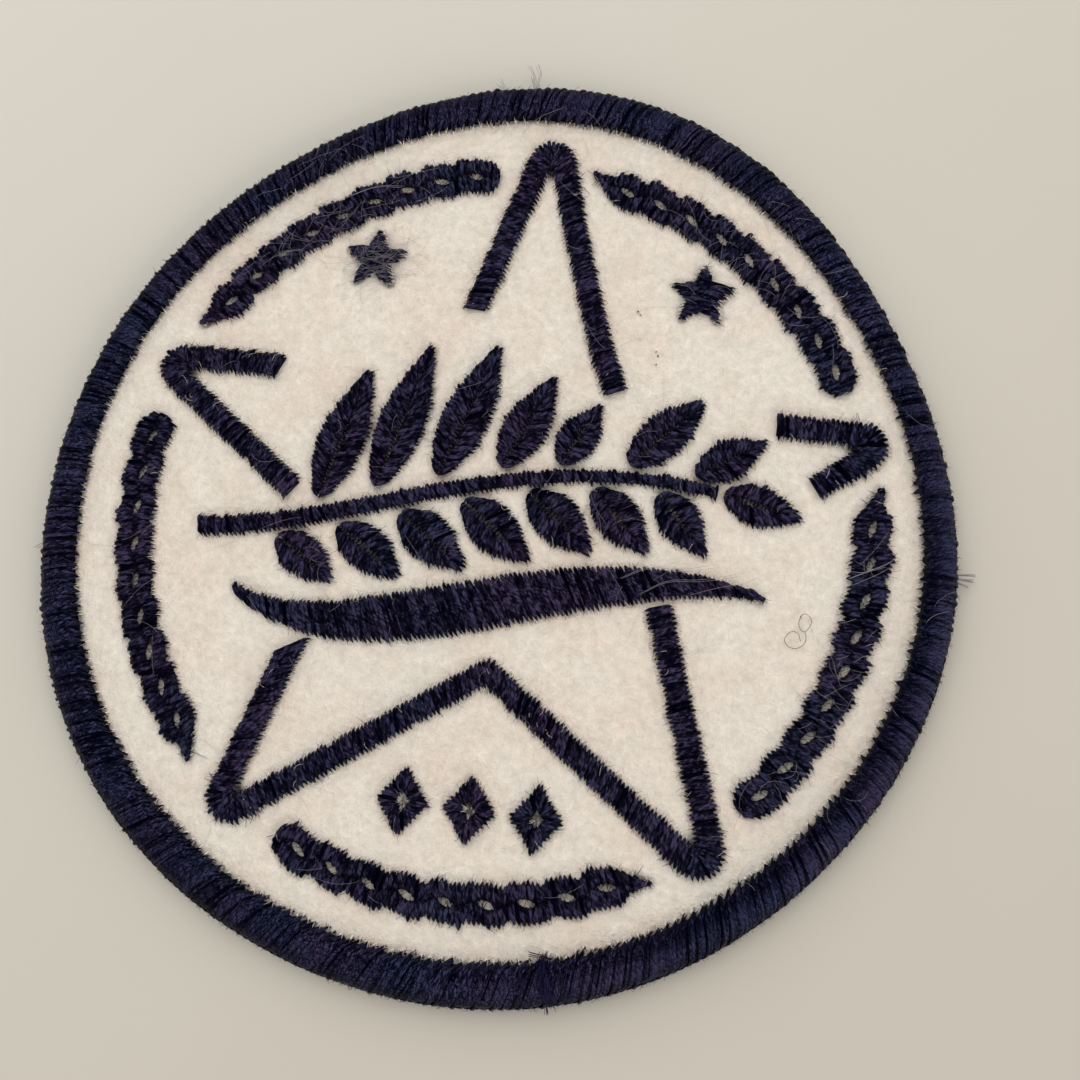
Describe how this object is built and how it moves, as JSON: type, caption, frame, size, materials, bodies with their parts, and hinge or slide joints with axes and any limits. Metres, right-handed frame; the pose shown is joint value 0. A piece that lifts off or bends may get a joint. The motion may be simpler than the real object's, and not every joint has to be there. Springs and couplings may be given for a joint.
{
  "type": "embroidered patch",
  "caption": "Round felt patch with an overlocked border, stitched with a broken star outline, arcs of chain, a laurel sprig, a wave, small stars and lozenges.",
  "frame": {"origin": "middle of the felt's flat back, where the patch lies on cloth or on a table", "axes": "+Z out of the stitched face, +Y towards the top point of the star, +X to the right as the face is looked at"},
  "size_m": [0.0756, 0.0771, 0.0028],
  "materials": {
    "ivory_felt": "matte pressed wool-like felt, mottled ivory with loose fibres",
    "navy_border": "satin sheen, overlocked polyester thread",
    "navy_stitching": "satin sheen, dense satin stitches in two-ply polyester thread"
  },
  "bodies": {
    "root": {"felt_ground": "ivory_felt", "merrowed_border": "navy_border", "star_top": "navy_stitching", "star_left": "navy_stitching", "star_right": "navy_stitching", "star_base": "navy_stitching", "chain_upper_left": "navy_stitching", "chain_upper_right": "navy_stitching", "chain_right": "navy_stitching", "chain_base": "navy_stitching", "chain_left": "navy_stitching", "small_star_left": "navy_stitching", "small_star_right": "navy_stitching", "laurel_stem": "navy_stitching", "wave": "navy_stitching", "leaf_1": "navy_stitching", "leaf_2": "navy_stitching", "leaf_3": "navy_stitching", "leaf_4": "navy_stitching", "leaf_5": "navy_stitching", "leaf_6": "navy_stitching", "leaf_7": "navy_stitching", "leaf_8": "navy_stitching", "leaf_9": "navy_stitching", "leaf_10": "navy_stitching", "leaf_11": "navy_stitching", "leaf_12": "navy_stitching", "leaf_13": "navy_stitching", "leaf_14": "navy_stitching", "leaf_15": "navy_stitching", "lozenge_1": "navy_stitching", "lozenge_2": "navy_stitching", "lozenge_3": "navy_stitching"}
  },
  "joints": []
}
